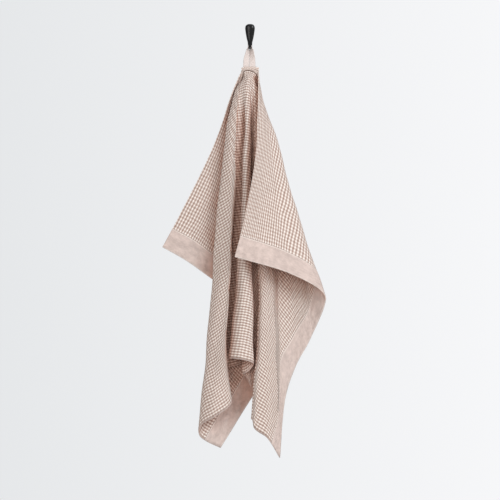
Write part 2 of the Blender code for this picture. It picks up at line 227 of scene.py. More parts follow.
def length_setting(name, description, default, least=0.0):
    """A length that can be set."""
    return FloatProperty(name=name, description=description, default=default, min=least, unit="LENGTH")


def amount_setting(name, description, default):
    """A plain amount that can be set."""
    return FloatProperty(name=name, description=description, default=default, min=0.0)


def colour_setting(name, description, default):
    """A colour that can be set."""
    return FloatVectorProperty(
        name=name, description=description, default=default, subtype="COLOR", min=0.0, max=1.0
    )


class ClothSettings(PropertyGroup):
    """Sizes and colours of the towel's cloth, with the colours of its painted shade."""

    thickness: length_setting("Thickness", "Thickness of the waffle cloth", 0.0016, 0.0005)
    band_thickness: length_setting("Band thickness", "Thickness of the doubled plain bands", 0.0020, 0.0005)
    band_width: length_setting("Band width", "Width of the plain bands at the short edges", 0.0367)
    cell_length: length_setting("Cell length", "Pitch of the waffle cells along the sheet", 0.0061, 0.001)
    cell_width: length_setting("Cell width", "Pitch of the waffle cells across the sheet", 0.0045, 0.001)
    relief: length_setting("Weave relief", "Height of the floats over the pits between them", 0.0011)
    float_colour: colour_setting("Float colour", "Colour of the raised threads", (0.84, 0.768, 0.722))
    # Pit colour: painted shade that darkens the pits between the floats, and also the hem's groove and strand
    # gaps.
    pit_shade_colour: colour_setting("Pit colour", "Colour of the threads between the floats", (0.30, 0.195, 0.158))
    # Deep tint: painted shade, a warm darkening where the folds close the cloth in.
    fold_shade_tint: colour_setting("Deep tint", "Warm tint where the folds close the cloth in", (0.86, 0.64, 0.56))
    band_colour: colour_setting("Band colour", "Colour of the plain bands", (0.56, 0.464, 0.43))


class LoopSettings(PropertyGroup):
    """Sizes and colour of the hanging loop."""

    width: length_setting("Tape width", "Width of the woven tape", 0.0102, 0.002)
    thickness: length_setting("Tape thickness", "Thickness of the woven tape", 0.0014, 0.0003)
    colour: colour_setting("Tape colour", "Colour of the woven tape", (0.62, 0.545, 0.52))


class StitchSettings(PropertyGroup):
    """Sizes and colour of the hem stitches."""

    pitch: length_setting("Pitch", "Distance from stitch to stitch", 0.0032, 0.0005)
    length: length_setting("Stitch length", "Length of one stitch", 0.0026, 0.0003)
    thread: length_setting("Thread thickness", "Thickness of the sewing thread", 0.0005, 0.0001)
    seed: IntProperty(
        name="Seed", description="Seed of the small differences between the stitches", default=4, min=0
    )
    colour: colour_setting("Thread colour", "Colour of the sewing thread", (0.78, 0.68, 0.62))


class HookSettings(PropertyGroup):
    """Finish of the hook."""

    colour: colour_setting("Hook colour", "Colour of the hook's black finish", (0.006, 0.006, 0.007))
    roughness: FloatProperty(
        name="Roughness", description="How dull the hook's finish is", default=0.2, min=0.0, max=1.0,
        subtype="FACTOR",
    )


class StageSettings(PropertyGroup):
    """Floor, light and camera."""

    floor_height: length_setting("Floor height", "Height of the floor under the hook", -1.15, -10.0)
    floor_radius: length_setting("Floor radius", "Radius of the floor", 3.0, 0.5)
    floor_colour: colour_setting("Floor colour", "Colour of the floor", (0.80, 0.80, 0.80))
    # The backdrop is darker on the left as painted shade.
    backdrop_left: colour_setting("Backdrop left", "Colour behind the towel on the left", (0.79, 0.805, 0.82))
    backdrop_right: colour_setting("Backdrop right", "Colour behind it on the right", (0.925, 0.93, 0.945))
    key_power: amount_setting("Key light", "Power of the soft light on the right in watts", 74.0)
    fill_power: amount_setting("Fill light", "Power of the soft light on the left in watts", 42.0)
    sky_strength: amount_setting("Ambient light", "Strength of the even light from all round", 0.64)
    camera_distance: length_setting("Camera distance", "Distance of the camera from the towel", 4.5, 1.0)
    view_height: length_setting("View height", "Height of the picture at the towel", 0.8333, 0.1)


class TowelSettings(PropertyGroup):
    """Everything that can be set on the towel, its hook and the stage."""

    cloth: PointerProperty(type=ClothSettings)
    loop: PointerProperty(type=LoopSettings)
    stitches: PointerProperty(type=StitchSettings)
    hook: PointerProperty(type=HookSettings)
    stage: PointerProperty(type=StageSettings)


# Materials

WHITE = (1.0, 1.0, 1.0, 1.0)


class Wire:
    """A number at a socket; plain arithmetic on it adds Math nodes."""

    def __init__(self, finish, socket):
        self.finish = finish
        self.socket = socket

    def math(self, operation, *others, clamp=False):
        node = self.finish.node(
            "ShaderNodeMath",
            {"operation": operation, "use_clamp": clamp},
            dict(enumerate((self,) + others)),
        )
        return Wire(self.finish, node.outputs[0])

    def __add__(self, other):
        return self.math("ADD", other)

    __radd__ = __add__

    def __sub__(self, other):
        return self.math("SUBTRACT", other)

    def __rsub__(self, other):
        return (self * -1.0) + other

    def __mul__(self, other):
        return self.math("MULTIPLY", other)

    __rmul__ = __mul__

    def __truediv__(self, other):
        return self.math("DIVIDE", other)

    def __abs__(self):
        return self.math("ABSOLUTE")

    def clamped(self):
        return self.math("ADD", 0.0, clamp=True)


class Nodes:
    """Adds nodes to a tree and joins them."""

    def __init__(self, tree):
        self.tree = tree

    def connect(self, socket, value):
        """Puts a number, colour, socket or Wire on an input."""
        if isinstance(value, Wire):
            value = value.socket
        if isinstance(value, bpy.types.NodeSocket):
            self.tree.links.new(value, socket)
        else:
            socket.default_value = value

    def node(self, kind, settings, values):
        """Adds a node: its settings first, then the values or links of its inputs."""
        made = self.tree.nodes.new(kind)
        for name, value in settings.items():
            setattr(made, name, value)
        for key, value in values.items():
            self.connect(made.inputs[key], value)
        return made


class Finish(Nodes):
    """A Principled material under construction."""

    def __init__(self, name, constants):
        self.material = bpy.data.materials.new(name)
        self.material.use_nodes = True
        super().__init__(self.material.node_tree)
        self.shader = self.tree.nodes["Principled BSDF"]
        for socket, value in constants.items():
            self.shader.inputs[socket].default_value = value

    def surface(self, colour, roughness, height):
        """Sets what varies over the surface; the relief comes from a height in metres."""
        node = self.node("ShaderNodeBump", {}, {"Strength": 1.0, "Distance": 1.0, "Height": height})
        self.connect(self.shader.inputs["Base Color"], colour)
        self.connect(self.shader.inputs["Roughness"], roughness)
        self.connect(self.shader.inputs["Normal"], node.outputs[0])

    def coordinates(self, uv_map=None):
        """Object coordinates, or the piece's own UV map where one is named."""
        if uv_map:
            return self.node("ShaderNodeUVMap", {"uv_map": uv_map}, {}).outputs[0]
        return self.node("ShaderNodeTexCoord", {}, {}).outputs["Object"]

    def split(self, vector):
        """The parts of a vector as Wires."""
        node = self.node("ShaderNodeSeparateXYZ", {}, {0: vector})
        return [Wire(self, output) for output in node.outputs]

    def noise(self, vector, scale, detail=2.0, roughness=0.5, stretch=None):
        """Soft noise from 0 to 1; stretch scales each axis, for a pattern longer one way than the other."""
        if stretch:
            scaled = self.node("ShaderNodeVectorMath", {"operation": "MULTIPLY"}, {0: vector, 1: stretch})
            vector = scaled.outputs[0]
        node = self.node(
            "ShaderNodeTexNoise",
            {"noise_dimensions": "3D"},
            {"Vector": vector, "Scale": scale, "Detail": detail, "Roughness": roughness},
        )
        return Wire(self, node.outputs[0])

    def mix(self, factor, first, second, blend="MIX"):
        """Two colours mixed."""
        node = self.node(
            "ShaderNodeMix",
            {"data_type": "RGBA", "blend_type": blend},
            {0: factor, 6: first, 7: second},
        )
        return node.outputs[2]

    def times(self, colour, factor, first, second):
        """A colour multiplied by a mix of two others."""
        return self.mix(1.0, colour, self.mix(factor, first, second), "MULTIPLY")


def rgba(colour, share=1.0):
    """A colour for a socket, darkened by a share."""
    return tuple(share * value for value in colour) + (1.0,)


def wave(wire, pitch):
    """A cosine from 0 to 1 that repeats every pitch."""
    return (wire * (2.0 * math.pi / pitch)).math("COSINE") * 0.5 + 0.5


def near(wire, centre, reach):
    """1 at a line, fading to 0 at a distance from it."""
    return (1.0 - abs(wire - centre) / reach).clamped()


def past(wire, line, reach=0.0004):
    """0 before a line and 1 past it."""
    return ((wire - line) / reach + 0.5).clamped()


def waffle_finish(settings):
    """Waffle weave: rows of raised floats over pits darkened with painted shade, with plain bands, a rolled
    hem and a selvedge; painted shade also darkens the hem's groove, the gaps between its strands and the
    closed-in folds.
    """
    finish = Finish(
        "waffle_cotton",
        {"Metallic": 0.0, "Sheen Weight": 0.06, "Sheen Roughness": 0.5, "Specular IOR Level": 0.2},
    )
    flat = finish.coordinates("flat")
    along, across, _ = finish.split(flat)
    drift = (finish.noise(flat, 34.0) - 0.5) * 0.0022
    swing = (finish.noise(flat, 47.0, stretch=(1.0, 1.3, 1.0)) - 0.5) * 0.0016
    row = wave(across + drift, settings.cell_width)
    bead = wave(along + swing, settings.cell_length)
    tone = row * (bead * 0.5 + 0.5) + (1.0 - row) * bead * 0.2
    uneven = finish.noise(flat, 150.0, stretch=(1.0, 1.4, 1.0))
    tone = (tone * 1.1 + (uneven - 0.5) * 0.4).clamped()
    yarn = finish.noise(flat, 2600.0, 2.0, 0.6, (0.3, 1.0, 1.0))
    cloud = finish.noise(flat, 9.0, 3.0)

    half = SHEET_LENGTH * MM / 2.0
    from_seam = abs(along) - (half - settings.band_width)
    band = past(from_seam, 0.0)
    seam = near(from_seam, 0.0012, 0.0013)
    rim = near(abs(along), half - 0.0007, 0.0014)
    selvedge = past(across, (SHEET_WIDTH - SELVEDGE) * MM, 0.0006)
    groove = near(across, (HEM_WIDTH + HEM_GROOVE / 2.0) * MM, HEM_GROOVE * 0.6 * MM)
    weft = wave(across, 0.00125)
    warp = wave(along, 0.00105)
    plain = weft * warp + (1.0 - weft) * (1.0 - warp)
    slub = finish.noise(flat, 420.0, stretch=(1.0, 0.12, 1.0))
    blotch = finish.noise(flat, 95.0, 4.0, 0.7, (1.0, 0.7, 1.0))
    crumple = finish.noise(flat, 85.0, 2.0, 0.55, (1.0, 0.55, 1.0))

    # The pits' darker colour is painted shade of the cell hollows.
    woven = finish.mix(tone, rgba(settings.pit_shade_colour), rgba(settings.float_colour))
    thread = (plain * 0.14 + slub * 0.34 + (blotch - 0.5) * 2.2 + 0.26).clamped()
    banded = finish.mix(thread, rgba(settings.band_colour, 0.78), rgba(settings.band_colour, 1.16))
    banded = finish.mix((seam + rim) * 0.55, banded, rgba(settings.float_colour))
    colour = finish.mix((band + selvedge).clamped(), woven, banded)
    upper = (1.2 - abs(along) / (HEM_ROLL_REACH * MM)).clamped()
    groove = groove * upper
    cord = past(HEM_WIDTH * MM - across, 0.0) * upper
    gap = (1.0 - wave(along + across * CORD_SLANT, settings.cell_length)) * cord
    colour = finish.mix(cord * 0.7, colour, rgba(settings.float_colour, 0.86))
    # Painted shade: darkens the gaps between the cord's strands.
    colour = finish.mix(gap * gap * 0.72, colour, rgba(settings.pit_shade_colour, 1.4))
    # Painted shadow line: darkens the groove under the hem cord.
    colour = finish.mix(groove * 0.85, colour, rgba(settings.pit_shade_colour, 0.45))
    colour = finish.times(colour, (cloud * 1.3 - 0.15).clamped(), (0.94, 0.925, 0.915, 1.0), WHITE)
    colour = finish.times(colour, yarn, (0.87, 0.86, 0.86, 1.0), WHITE)
    # Painted fold shade: a warm darkening, stronger where the folds close the cloth in, less on the cord.
    enclosed = finish.node("ShaderNodeAttribute", {"attribute_name": "enclosure"}, {}).outputs["Fac"]
    fold_shade = (Wire(finish, enclosed) * 2.6 - 0.28).clamped() * (1.0 - cord * 0.85)
    colour = finish.times(colour, fold_shade, WHITE, rgba(settings.fold_shade_tint))
    flatter = 1.0 - (band + selvedge).clamped()
    relief = tone * settings.relief * flatter - groove * 0.0006 - gap * 0.0006
    raised = plain * 0.0001 + (seam + rim) * 0.0004 + slub * 0.0001 + crumple * 0.0034 + blotch * 0.0010
    finish.surface(colour, yarn * 0.12 + 0.84, relief + raised * band + yarn * 0.00005)
    return finish.material


def tape_finish(settings):
    """Ribbed woven tape."""
    finish = Finish("woven_tape", {"Metallic": 0.0, "Sheen Weight": 0.25, "Sheen Roughness": 0.5})
    flat = finish.coordinates("flat")
    along, across, _ = finish.split(flat)
    rib = wave(along + abs(across) * 0.6, 0.0011)
    cord = wave(across, 0.0015)
    fibre = finish.noise(flat, 2400.0, stretch=(1.0, 0.25, 1.0))
    tone = (rib * 0.5 + cord * 0.2 + fibre * 0.35).clamped()
    colour = finish.mix(tone, rgba(settings.colour, 0.72), rgba(settings.colour, 1.18))
    edge = ((abs(across) - (settings.width / 2.0 - 0.0012)) * 2500.0).clamped()
    colour = finish.mix(edge * 0.35, colour, rgba(settings.colour, 0.8))
    finish.surface(colour, fibre * 0.15 + 0.8, rib * 0.00018 + cord * 0.0001 + fibre * 0.00005)
    return finish.material


def thread_finish(settings):
    """Twisted cotton sewing thread."""
    finish = Finish("sewing_thread", {"Metallic": 0.0, "Sheen Weight": 0.2})
    twist = finish.noise(finish.coordinates(), 1900.0)
    colour = finish.mix(twist, rgba(settings.colour, 0.8), rgba(settings.colour, 1.08))
    finish.surface(colour, twist * 0.2 + 0.65, twist * 0.00006)
    return finish.material


def black_finish(name, settings):
    """Glossy black enamel with a faint uneven skin."""
    finish = Finish(name, {"Metallic": 0.0, "Coat Roughness": 0.06, "Specular IOR Level": 0.14})
    place = finish.coordinates()
    skin = finish.noise(place, 420.0)
    dust = finish.noise(place, 1500.0, 3.0)
    colour = finish.mix(dust, rgba(settings.colour, 0.8), rgba(settings.colour, 1.5))
    finish.surface(colour, dust * 0.12 + (settings.roughness - 0.06), skin * 0.00006)
    finish.connect(finish.shader.inputs["Coat Weight"], skin * 0.08 + 0.02)
    return finish.material


# Shapes


def smooth(knots, values, places):
    """Reads a smooth curve through values at knots, one that never overshoots them."""
    knots = np.asarray(knots, dtype=float)
    values = np.asarray(values, dtype=float)
    places = np.asarray(places, dtype=float)
    tail = (1,) * (values.ndim - 1)
    steps = np.diff(knots).reshape((-1,) + tail)
    rates = np.diff(values, axis=0) / steps
    tangents = np.empty_like(values)
    tangents[0] = rates[0]
    tangents[-1] = rates[-1]
    before = rates[:-1]
    after = rates[1:]
    first = 2.0 * steps[1:] + steps[:-1]
    second = steps[1:] + 2.0 * steps[:-1]
    same_way = before * after > 0.0
    safe_before = np.where(same_way, before, 1.0)
    safe_after = np.where(same_way, after, 1.0)
    mean = (first + second) / (first / safe_before + second / safe_after)
    tangents[1:-1] = np.where(same_way, mean, 0.0)
    index = np.clip(np.searchsorted(knots, places) - 1, 0, len(knots) - 2)
    step = steps[index]
    t = ((places - knots[index]).reshape((-1,) + tail)) / step
    return (
        (2.0 * t ** 3 - 3.0 * t ** 2 + 1.0) * values[index]
        + (t ** 3 - 2.0 * t ** 2 + t) * step * tangents[index]
        + (3.0 * t ** 2 - 2.0 * t ** 3) * values[index + 1]
        + (t ** 3 - t ** 2) * step * tangents[index + 1]
    )


def reached(path):
    """Length run at each point of a path."""
    return np.concatenate(([0.0], np.cumsum(np.linalg.norm(np.diff(path, axis=0), axis=1))))


def border_distance(along, drop):
    """Distance round the flat sheet's border from the left end of the top edge."""
    if along <= -SHEET_LENGTH / 2.0:
        return drop
    if drop >= SHEET_WIDTH:
        return SHEET_WIDTH + along + SHEET_LENGTH / 2.0
    return 2.0 * SHEET_WIDTH + SHEET_LENGTH - drop


def border_point(distance):
    """Flat (along, drop) of a distance round the border."""
    half = SHEET_LENGTH / 2.0
    if distance <= SHEET_WIDTH:
        return -half, distance
    if distance <= SHEET_WIDTH + SHEET_LENGTH:
        return distance - SHEET_WIDTH - half, SHEET_WIDTH
    return half, 2.0 * SHEET_WIDTH + SHEET_LENGTH - distance


def start_along(distance):
    """Where on the top edge the line to a border point starts."""
    along, drop = border_point(distance)
    angles, places = zip(*TOP_STARTS)
    return float(smooth(angles, places, [math.degrees(math.atan2(drop, -along))])[0])


def row_shares():
    """Shares of a fold line's length at which the sheet has a row."""
    return (np.arange(ROWS_DOWN + 1) / ROWS_DOWN) ** ROW_CROWDING


def fold_line(distance, stations, tip):
    """Points down one fold line at the rows' shares of its length."""
    along, drop = border_point(distance)
    hem = (along / math.hypot(along, drop)) ** 6
    start = start_along(distance)
    spread = GATHER_SPREAD + (GATHER_HEM_SPREAD - GATHER_SPREAD) * hem
    first_x, first_y = stations[0]
    wider = (first_x - start) * spread
    points = [(start, TOP_Y, TOP_CORNER_DROP * (start / TOP_STARTS[0][1]) ** 6)]
    points += [(start + wider * share, TOP_Y + lift, level) for lift, level, share in TOP_HEM]
    points.append((start + wider, TOP_Y + (first_y - TOP_Y) * GATHER_DEPTH, GATHER_DROP))
    points += [(x, y, level) for (x, y), level in zip(stations, LEVELS)]
    points.append(tip)
    depths = [point[2] for point in points]
    path = smooth(depths, points, np.linspace(depths[0], tip[2], LINE_SAMPLES))
    lengths = reached(path)
    return smooth(lengths, path, lengths[-1] * row_shares())


def bend_flank(fold, distance, across, towards, plain):
    """Line beside a tight crease, a quarter turn from its edge; near the top it is the plain sheet's line."""
    size = abs(fold.bend)
    stations = [(x + across * size, y + towards * size) for x, y in fold.stations]
    x, y, drop = fold.tip
    bent = fold_line(distance, stations, (x + across * size, y + towards * size, drop))
    share = np.clip((plain[:, 2:] - BEND_START) / BEND_GROWTH, 0.0, 1.0)
    return plain + (bent - plain) * share


def sheet_lines():
    """Border distances and points of every fold line, and of the flanks of the tight ones."""
    edges = [border_distance(fold.along, fold.drop) for fold in FOLDS]
    creases = np.array([fold_line(edge, fold.stations, fold.tip) for edge, fold in zip(edges, FOLDS)])
    parts = []
    for index, (edge, fold) in enumerate(zip(edges, FOLDS)):
        if not fold.bend:
            parts.append((edge, creases[index]))
            continue
        first = edge - abs(fold.bend) * math.pi / 2.0
        last = edge + abs(fold.bend) * math.pi / 2.0
        middle = 0.5 * (FOLDS[index - 1].tip[0] + FOLDS[index + 1].tip[0])
        across = math.copysign(1.0, middle - fold.tip[0])
        towards = math.copysign(1.0, fold.bend)
        before, after = smooth(edges, creases, [first, last])
        parts.append((first, bend_flank(fold, first, across, towards, before)))
        parts.append((edge, creases[index]))
        parts.append((last, bend_flank(fold, last, across, -towards, after)))
    knots, lines = zip(*parts)
    return knots, np.array(lines)


def column_places(knots):
    """Border distances of the sheet's columns: one on every line, and more along the top hem."""
    total = 2.0 * SHEET_WIDTH + SHEET_LENGTH
    result = [knots[0]]
    for low, high in zip(knots, knots[1:]):
        near_hem = low < HEM_SPAN or high > total - HEM_SPAN
        count = max(2, math.ceil((high - low) / (HEM_PITCH if near_hem else COLUMN_PITCH)))
        result += [low + (high - low) * (j + 1) / count for j in range(count)]
    return np.array(result)


def ray_directions():
    """Directions spread evenly round a point."""
    turn = math.pi * (3.0 - math.sqrt(5.0))
    rays = []
    for i in range(ENCLOSURE_RAYS):
        height = 1.0 - (2.0 * i + 1.0) / ENCLOSURE_RAYS
        out = math.sqrt(1.0 - height * height)
        rays.append(Vector((out * math.cos(turn * i), out * math.sin(turn * i), height)))
    return rays


def closed_share(tree, origin, normal, rays):
    """How much of what a point faces is closed off by the folds, from 0 to 1."""
    total = 0.0
    met = 0.0
    for ray in rays:
        weight = ray.dot(normal)
        if weight <= 0.1:
            continue
        total += weight
        distance = tree.ray_cast(origin, ray, ENCLOSURE_REACH)[3]
        if distance is not None:
            met += weight * (1.0 - (distance / ENCLOSURE_REACH) ** 2)
    return met / max(total, 1e-6)


class HungSheet:
    """The sheet's middle surface as hung: columns from the top edge to the border, in millimetres."""

    def __init__(self):
        knots, lines = sheet_lines()
        self.columns = column_places(knots)
        self.shares = row_shares()
        points = smooth(knots, lines, self.columns)
        first = knots.index(SHEET_WIDTH)
        second = knots.index(SHEET_WIDTH + SHEET_LENGTH)
        sharpness = (self.shares ** (CORNER_SHARPNESS / ROW_CROWDING))[:, None]
        for low, high in ((0, first), (first, second), (second, len(knots) - 1)):
            chosen = (self.columns >= knots[low]) & (self.columns <= knots[high])
            side = smooth(knots[low:high + 1], lines[low:high + 1], self.columns[chosen])
            points[chosen] += (side - points[chosen]) * sharpness
        starts = np.array([(start_along(at), 0.0) for at in self.columns])
        borders = np.array([border_point(at) for at in self.columns])
        self.flat = starts[:, None, :] + (borders - starts)[:, None, :] * self.shares[None, :, None]
        self.points = points + self.normals(points) * self.ripple()[:, :, None]
        self.facing = self.normals(self.points)

    def ripple(self):
        """Soft unevenness of the cloth, fading out towards the gathered top."""
        along = self.flat[:, :, 0]
        across = self.flat[:, :, 1]
        height = np.zeros(along.shape)
        for long, wide, rise, start in RIPPLES:
            height += rise * np.sin(2.0 * math.pi * ((along + start) / long + across / wide))
        reach = np.hypot(along, across)
        return height * np.clip(reach / RIPPLE_FADE - 0.5, 0.0, 1.0)

    def normals(self, points):
        """Unit normals of the surface, towards the room where it faces front."""
        across = np.gradient(points, axis=0)
        down = np.gradient(points, axis=1)
        down[:, 0] = down[:, 1]
        across[:, 0] = across[:, 1]
        facing = np.cross(down, across)
        size = np.linalg.norm(facing, axis=2, keepdims=True)
        return facing / np.maximum(size, 1e-9)

    def enclosure(self):
        """How far the folds close in the front and the back of the sheet at each point, from 0 to 1, for the
        painted fold shade.
        """
        columns, rows = [
            np.unique(np.append(np.arange(0, count, ENCLOSURE_STEP), count - 1))
            for count in self.points.shape[:2]
        ]
        spots = self.points[np.ix_(columns, rows)]
        facing = self.facing[np.ix_(columns, rows)]
        corner = np.arange(spots.shape[0] * spots.shape[1]).reshape(spots.shape[:2])
        faces = np.stack([corner[:-1, :-1], corner[:-1, 1:], corner[1:, 1:], corner[1:, :-1]], axis=2)
        tree = BVHTree.FromPolygons(spots.reshape(-1, 3).tolist(), faces.reshape(-1, 4).tolist())
        rays = ray_directions()
        result = []
        for side in (1.0, -1.0):
            closed = np.zeros(corner.shape)
            for place in np.ndindex(closed.shape):
                normal = Vector(facing[place]) * side
                origin = Vector(spots[place]) + normal * ENCLOSURE_LIFT
                closed[place] = closed_share(tree, origin, normal, rays)
            closed = np.array([np.interp(np.arange(len(self.shares)), rows, line) for line in closed])
            closed = np.array([np.interp(np.arange(len(self.columns)), columns, line) for line in closed.T])
            result.append(closed.T.ravel())
        return result

    def placed(self, point):
        """A point in metres, in the model's frame."""
        x, y, drop = point
        return ((x + TOP_X) * MM, y * MM, (TOP_Z - drop) * MM)

    def path(self, along, raised):
        """Points down the line at a place along the sheet, raised off its surface."""
        result = []
        for flat, points, facing in zip(self.flat, self.points, self.facing):
            line = flat[:, 0] * math.copysign(1.0, along)
            if line[-1] < abs(along):
                continue
            share = np.interp(abs(along), line, self.shares)
            spot = [np.interp(share, self.shares, (points + facing * raised)[:, k]) for k in range(3)]
            result.append(Vector(self.placed(spot)))
        return result


def new_piece(name, shape, material):
    """Object in the scene, made from a bmesh."""
    mesh = bpy.data.meshes.new(name)
    bmesh.ops.recalc_face_normals(shape, faces=shape.faces)
    for face in shape.faces:
        face.smooth = True
    shape.to_mesh(mesh)
    shape.free()
    mesh.materials.append(material)
    thing = bpy.data.objects.new(name, mesh)
    bpy.context.scene.collection.objects.link(thing)
    return thing


def apply_modifiers(thing):
    """Makes the modifiers' result the piece's own mesh."""
    depsgraph = bpy.context.evaluated_depsgraph_get()
    mesh = bpy.data.meshes.new_from_object(thing.evaluated_get(depsgraph))
    thing.modifiers.clear()
    old = thing.data
    thing.data = mesh
    bpy.data.meshes.remove(old)
    mesh.name = thing.name


def fullness(sheet, settings):
    """Thickness of the cloth at each point, as a share of the rolled hem's."""
    along, across = np.moveaxis(sheet.flat, 2, 0)
    reach = np.hypot(along, across)
    band = np.clip((np.abs(along) - (SHEET_LENGTH / 2.0 - settings.band_width / MM)) / 2.0, 0.0, 1.0)
    hem = np.clip(1.0 - (across / HEM_WIDTH * 2.0 - 1.0) ** 2, 0.0, 1.0)
    doubled = np.maximum(band, 0.6 * hem)
    thickness = settings.thickness + (settings.band_thickness - settings.thickness) * doubled
    weights = thickness / (HEM_ROLL * MM)
    weights *= np.clip(GATHER_THICKNESS + (1.0 - GATHER_THICKNESS) * reach / GATHER_THICK_DROP, 0.0, 1.0)
    rolled = np.clip(1.0 - reach / HEM_ROLL_REACH, 0.0, 1.0) * hem
    turns = (along + CORD_SLANT * across) * MM / settings.cell_length
    strand = 0.5 + 0.5 * np.cos(2.0 * math.pi * turns)
    return np.minimum(1.0, weights + (1.0 - weights) * rolled * (0.45 + 0.55 * strand))


def cloth_piece(sheet, settings):
    """The towel's sheet with its thickness, doubled at the bands and rolled at the top."""
    shape = bmesh.new()
    flat_map = shape.loops.layers.uv.new("flat")
    verts = [[shape.verts.new(sheet.placed(point)) for point in column] for column in sheet.points]
    for i in range(len(verts) - 1):
        for j in range(len(verts[i]) - 1):
            corners = ((i, j), (i, j + 1), (i + 1, j + 1), (i + 1, j))
            face = shape.faces.new([verts[a][b] for a, b in corners])
            for loop, (a, b) in zip(face.loops, corners):
                loop[flat_map].uv = sheet.flat[a, b] * MM
    cloth = new_piece("towel_sheet", shape, waffle_finish(settings))
    group = cloth.vertex_groups.new(name="fullness")
    for index, weight in enumerate(fullness(sheet, settings).ravel()):
        group.add([index], float(weight), "REPLACE")
    solid = cloth.modifiers.new("thickness", "SOLIDIFY")
    solid.vertex_group = "fullness"
    solid.thickness = HEM_ROLL * MM
    solid.offset = 0.0
    solid.use_even_offset = False
    apply_modifiers(cloth)
    cloth.vertex_groups.clear()
    mark_enclosure(cloth, sheet)
    return cloth


def mark_enclosure(cloth, sheet):
    """Stores how enclosed each point of the thick sheet lies, for the painted fold shade in its finish."""
    front, back = sheet.enclosure()
    places = np.empty(len(cloth.data.vertices) * 3)
    cloth.data.vertices.foreach_get("co", places)
    middle = np.array([sheet.placed(point) for point in sheet.points.reshape(-1, 3)])
    outward = sheet.facing.reshape(-1, 3) * (1.0, 1.0, -1.0)
    sides = places.reshape(2, -1, 3) - middle
    values = [np.where(np.sum(side * outward, axis=1) > 0.0, front, back) for side in sides]
    mark = cloth.data.attributes.new("enclosure", "FLOAT", "POINT")
    mark.data.foreach_set("value", np.concatenate(values))


def run_through(table, steps):
    """A smooth run through the rows of a table, with some steps from row to row."""
    last = len(table) - 1
    return smooth(np.arange(last + 1), table, np.linspace(0.0, last, last * steps + 1))


def loft(sections):
    """Closed skin through sections of equal count, with flat ends."""
    shape = bmesh.new()
    rings = [[shape.verts.new(point) for point in section] for section in sections]
    for lower, upper in zip(rings, rings[1:]):
        for i in range(len(lower)):
            j = (i + 1) % len(lower)
            shape.faces.new((lower[i], lower[j], upper[j], upper[i]))
    shape.faces.new(rings[0])
    shape.faces.new(rings[-1])
    shape.verts.index_update()
    return shape


def tape_outline(width, thickness):
    """Rounded outline of the tape's section, (across, through) in metres."""
    half = thickness / 2.0
    flat = width / 2.0 - half
    result = []
    for centre, first in ((flat, -math.pi / 2.0), (-flat, math.pi / 2.0)):
        for i in range(5):
            angle = first + math.pi * i / 4.0
            result.append((centre + half * math.cos(angle), half * math.sin(angle)))
        sign = 1.0 if centre > 0.0 else -1.0
        result += [(sign * flat * share, sign * half) for share in (0.5, 0.0, -0.5)]
    return result


def tape_piece(settings):
    """The hanging loop: a flat tape over the hook, its legs turned a quarter round below it."""
    path = run_through(TAPE_PATH, TAPE_STEPS)
    centres = path[:, :3]
    run = np.gradient(centres, axis=0)
    run /= np.linalg.norm(run, axis=1, keepdims=True)
    turn = np.radians(path[:, 3])
    wide = np.stack([np.cos(turn), np.sin(turn), np.zeros(len(turn))], axis=1)
    wide -= run * np.sum(wide * run, axis=1, keepdims=True)
    wide /= np.linalg.norm(wide, axis=1, keepdims=True)
    outline = tape_outline(settings.width, settings.thickness)
    shape = loft([
        [centre + across * u + through * v for u, v in outline]
        for centre, across, through in zip(centres * MM, wide, np.cross(run, wide))
    ])
    marks = [(length, u) for length in reached(centres * MM) for u, _ in outline]
    flat_map = shape.loops.layers.uv.new("flat")
    for face in shape.faces:
        for loop in face.loops:
            loop[flat_map].uv = marks[loop.vert.index]
    return new_piece("loop_tape", shape, tape_finish(settings))


def arm_piece(material):
    """The hook's round arm and flattened drop-shaped head."""
    turns = 2.0 * math.pi * np.arange(ARM_SIDES) / ARM_SIDES
    sections = []
    for y, z, half_width, half_depth, tilt in run_through(ARM_SECTIONS, ARM_STEPS):
        lean = math.radians(tilt)
        side = half_width * np.cos(turns)
        out = half_depth * np.sin(turns)
        sections.append(np.stack([side, y + out * math.sin(lean), z + out * math.cos(lean)], axis=1) * MM)
    return new_piece("hook_head_and_arm", loft(sections), material)


def plate_piece(material):
    """The tapered plate that holds the hook to the wall, with a softened rim."""
    outline = []
    for centre, radius, first in (
        (PLATE_TOP_Z, PLATE_TOP_RADIUS, 0.0),
        (PLATE_LOW_Z, PLATE_LOW_RADIUS, math.pi),
    ):
        for i in range(PLATE_END_STEPS + 1):
            angle = first + math.pi * i / PLATE_END_STEPS
            outline.append((radius * math.cos(angle), centre + radius * math.sin(angle)))
    shape = bmesh.new()
    back = shape.faces.new([shape.verts.new((x * MM, 0.0, z * MM)) for x, z in outline])
    pulled = bmesh.ops.extrude_face_region(shape, geom=[back], use_keep_orig=True)
    front = [item for item in pulled["geom"] if isinstance(item, bmesh.types.BMVert)]
    bmesh.ops.translate(shape, verts=front, vec=(0.0, -PLATE_DEPTH * MM, 0.0))
    rim = [edge for edge in shape.edges if all(vert in front for vert in edge.verts)]
    bmesh.ops.bevel(shape, geom=rim, offset=PLATE_EDGE * MM, segments=3, profile=0.5, affect="EDGES")
    return new_piece("hook_wall_plate", shape, material)


